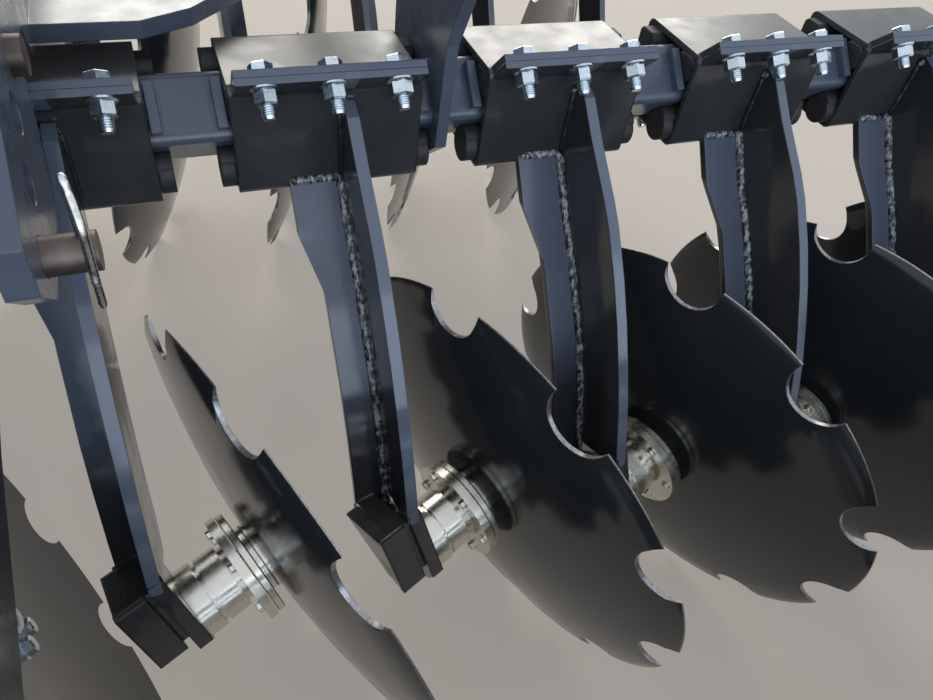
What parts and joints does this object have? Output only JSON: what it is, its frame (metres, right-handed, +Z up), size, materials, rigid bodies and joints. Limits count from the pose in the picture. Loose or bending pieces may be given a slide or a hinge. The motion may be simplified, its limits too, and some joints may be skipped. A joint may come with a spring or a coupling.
{
  "type": "mounted disc harrow",
  "caption": "Tractor mounted disc harrow with two rows of scalloped discs on rubber cushioned arms and a cage roller behind.",
  "frame": {"origin": "on the floor, under the middle of the machine's width and length", "axes": "+X to the right and +Y forward, the way the harrow is pulled; +Z up"},
  "size_m": [3.2672, 2.2659, 1.2322],
  "materials": {
    "frame_paint": "blue-grey gloss paint",
    "black_paint": "black gloss paint",
    "disc_paint": "black gloss paint with a ground edge",
    "rubber": "matte black rubber",
    "zinc": "zinc plated",
    "pin_steel": "bare steel with a brown film",
    "bearing": "dark paint",
    "roller_paint": "black paint"
  },
  "bodies": {
    "frame": {"rear_beam": "frame_paint", "front_beam": "frame_paint", "rear_arms": "black_paint", "front_arms": "black_paint", "rear_caps": "black_paint", "front_caps": "black_paint", "rear_cords": "rubber", "front_cords": "rubber", "rear_hubs": "zinc", "front_hubs": "zinc", "uprights": "frame_paint", "side_rails": "frame_paint", "cross_rails": "frame_paint", "roller_brackets": "frame_paint", "headstock": "frame_paint", "tower": "frame_paint", "brace": "frame_paint", "hitch_pins": "pin_steel", "stop_pins": "pin_steel", "pivot_pins": "pin_steel"},
    "roller_arms": {"roller_frame": "black_paint", "roller_bearings": "bearing"},
    "roller": {"roller_cage": "roller_paint"},
    "rear_disc_01": {"rear_disc_01": "disc_paint"},
    "rear_disc_02": {"rear_disc_02": "disc_paint"},
    "rear_disc_03": {"rear_disc_03": "disc_paint"},
    "rear_disc_04": {"rear_disc_04": "disc_paint"},
    "rear_disc_05": {"rear_disc_05": "disc_paint"},
    "rear_disc_06": {"rear_disc_06": "disc_paint"},
    "rear_disc_07": {"rear_disc_07": "disc_paint"},
    "rear_disc_08": {"rear_disc_08": "disc_paint"},
    "rear_disc_09": {"rear_disc_09": "disc_paint"},
    "rear_disc_10": {"rear_disc_10": "disc_paint"},
    "rear_disc_11": {"rear_disc_11": "disc_paint"},
    "rear_disc_12": {"rear_disc_12": "disc_paint"},
    "front_disc_01": {"front_disc_01": "disc_paint"},
    "front_disc_02": {"front_disc_02": "disc_paint"},
    "front_disc_03": {"front_disc_03": "disc_paint"},
    "front_disc_04": {"front_disc_04": "disc_paint"},
    "front_disc_05": {"front_disc_05": "disc_paint"},
    "front_disc_06": {"front_disc_06": "disc_paint"},
    "front_disc_07": {"front_disc_07": "disc_paint"},
    "front_disc_08": {"front_disc_08": "disc_paint"},
    "front_disc_09": {"front_disc_09": "disc_paint"},
    "front_disc_10": {"front_disc_10": "disc_paint"},
    "front_disc_11": {"front_disc_11": "disc_paint"},
    "front_disc_12": {"front_disc_12": "disc_paint"}
  },
  "joints": [
    {"name": "rear_disc_01_turns", "type": "hinge", "parent": "frame", "child": "rear_disc_01", "pos_m": [-1.224, -0.285, 0.27617], "axis": [0.923, 0.3451, 0.1702], "continuous": true},
    {"name": "rear_disc_02_turns", "type": "hinge", "parent": "frame", "child": "rear_disc_02", "pos_m": [-0.974, -0.285, 0.27617], "axis": [0.923, 0.3451, 0.1702], "continuous": true},
    {"name": "rear_disc_03_turns", "type": "hinge", "parent": "frame", "child": "rear_disc_03", "pos_m": [-0.724, -0.285, 0.27617], "axis": [0.923, 0.3451, 0.1702], "continuous": true},
    {"name": "rear_disc_04_turns", "type": "hinge", "parent": "frame", "child": "rear_disc_04", "pos_m": [-0.474, -0.285, 0.27617], "axis": [0.923, 0.3451, 0.1702], "continuous": true},
    {"name": "rear_disc_05_turns", "type": "hinge", "parent": "frame", "child": "rear_disc_05", "pos_m": [-0.224, -0.285, 0.27617], "axis": [0.923, 0.3451, 0.1702], "continuous": true},
    {"name": "rear_disc_06_turns", "type": "hinge", "parent": "frame", "child": "rear_disc_06", "pos_m": [0.026, -0.285, 0.27617], "axis": [0.923, 0.3451, 0.1702], "continuous": true},
    {"name": "rear_disc_07_turns", "type": "hinge", "parent": "frame", "child": "rear_disc_07", "pos_m": [0.276, -0.285, 0.27617], "axis": [0.923, 0.3451, 0.1702], "continuous": true},
    {"name": "rear_disc_08_turns", "type": "hinge", "parent": "frame", "child": "rear_disc_08", "pos_m": [0.526, -0.285, 0.27617], "axis": [0.923, 0.3451, 0.1702], "continuous": true},
    {"name": "rear_disc_09_turns", "type": "hinge", "parent": "frame", "child": "rear_disc_09", "pos_m": [0.776, -0.285, 0.27617], "axis": [0.923, 0.3451, 0.1702], "continuous": true},
    {"name": "rear_disc_10_turns", "type": "hinge", "parent": "frame", "child": "rear_disc_10", "pos_m": [1.026, -0.285, 0.27617], "axis": [0.923, 0.3451, 0.1702], "continuous": true},
    {"name": "rear_disc_11_turns", "type": "hinge", "parent": "frame", "child": "rear_disc_11", "pos_m": [1.276, -0.285, 0.27617], "axis": [0.923, 0.3451, 0.1702], "continuous": true},
    {"name": "rear_disc_12_turns", "type": "hinge", "parent": "frame", "child": "rear_disc_12", "pos_m": [1.526, -0.285, 0.27617], "axis": [0.923, 0.3451, 0.1702], "continuous": true},
    {"name": "front_disc_01_turns", "type": "hinge", "parent": "frame", "child": "front_disc_01", "pos_m": [-1.526, 0.625, 0.27617], "axis": [-0.923, 0.3451, 0.1702], "continuous": true},
    {"name": "front_disc_02_turns", "type": "hinge", "parent": "frame", "child": "front_disc_02", "pos_m": [-1.276, 0.625, 0.27617], "axis": [-0.923, 0.3451, 0.1702], "continuous": true},
    {"name": "front_disc_03_turns", "type": "hinge", "parent": "frame", "child": "front_disc_03", "pos_m": [-1.026, 0.625, 0.27617], "axis": [-0.923, 0.3451, 0.1702], "continuous": true},
    {"name": "front_disc_04_turns", "type": "hinge", "parent": "frame", "child": "front_disc_04", "pos_m": [-0.776, 0.625, 0.27617], "axis": [-0.923, 0.3451, 0.1702], "continuous": true},
    {"name": "front_disc_05_turns", "type": "hinge", "parent": "frame", "child": "front_disc_05", "pos_m": [-0.526, 0.625, 0.27617], "axis": [-0.923, 0.3451, 0.1702], "continuous": true},
    {"name": "front_disc_06_turns", "type": "hinge", "parent": "frame", "child": "front_disc_06", "pos_m": [-0.276, 0.625, 0.27617], "axis": [-0.923, 0.3451, 0.1702], "continuous": true},
    {"name": "front_disc_07_turns", "type": "hinge", "parent": "frame", "child": "front_disc_07", "pos_m": [-0.026, 0.625, 0.27617], "axis": [-0.923, 0.3451, 0.1702], "continuous": true},
    {"name": "front_disc_08_turns", "type": "hinge", "parent": "frame", "child": "front_disc_08", "pos_m": [0.224, 0.625, 0.27617], "axis": [-0.923, 0.3451, 0.1702], "continuous": true},
    {"name": "front_disc_09_turns", "type": "hinge", "parent": "frame", "child": "front_disc_09", "pos_m": [0.474, 0.625, 0.27617], "axis": [-0.923, 0.3451, 0.1702], "continuous": true},
    {"name": "front_disc_10_turns", "type": "hinge", "parent": "frame", "child": "front_disc_10", "pos_m": [0.724, 0.625, 0.27617], "axis": [-0.923, 0.3451, 0.1702], "continuous": true},
    {"name": "front_disc_11_turns", "type": "hinge", "parent": "frame", "child": "front_disc_11", "pos_m": [0.974, 0.625, 0.27617], "axis": [-0.923, 0.3451, 0.1702], "continuous": true},
    {"name": "front_disc_12_turns", "type": "hinge", "parent": "frame", "child": "front_disc_12", "pos_m": [1.224, 0.625, 0.27617], "axis": [-0.923, 0.3451, 0.1702], "continuous": true},
    {"name": "roller_arms_swing", "type": "hinge", "parent": "frame", "child": "roller_arms", "pos_m": [0, -0.143, 0.76017], "axis": [1, 0, 0], "range_deg": [0, 4]},
    {"name": "roller_turns", "type": "hinge", "parent": "roller_arms", "child": "roller", "pos_m": [0, -0.913, 0.22], "axis": [1, 0, 0], "continuous": true}
  ]
}
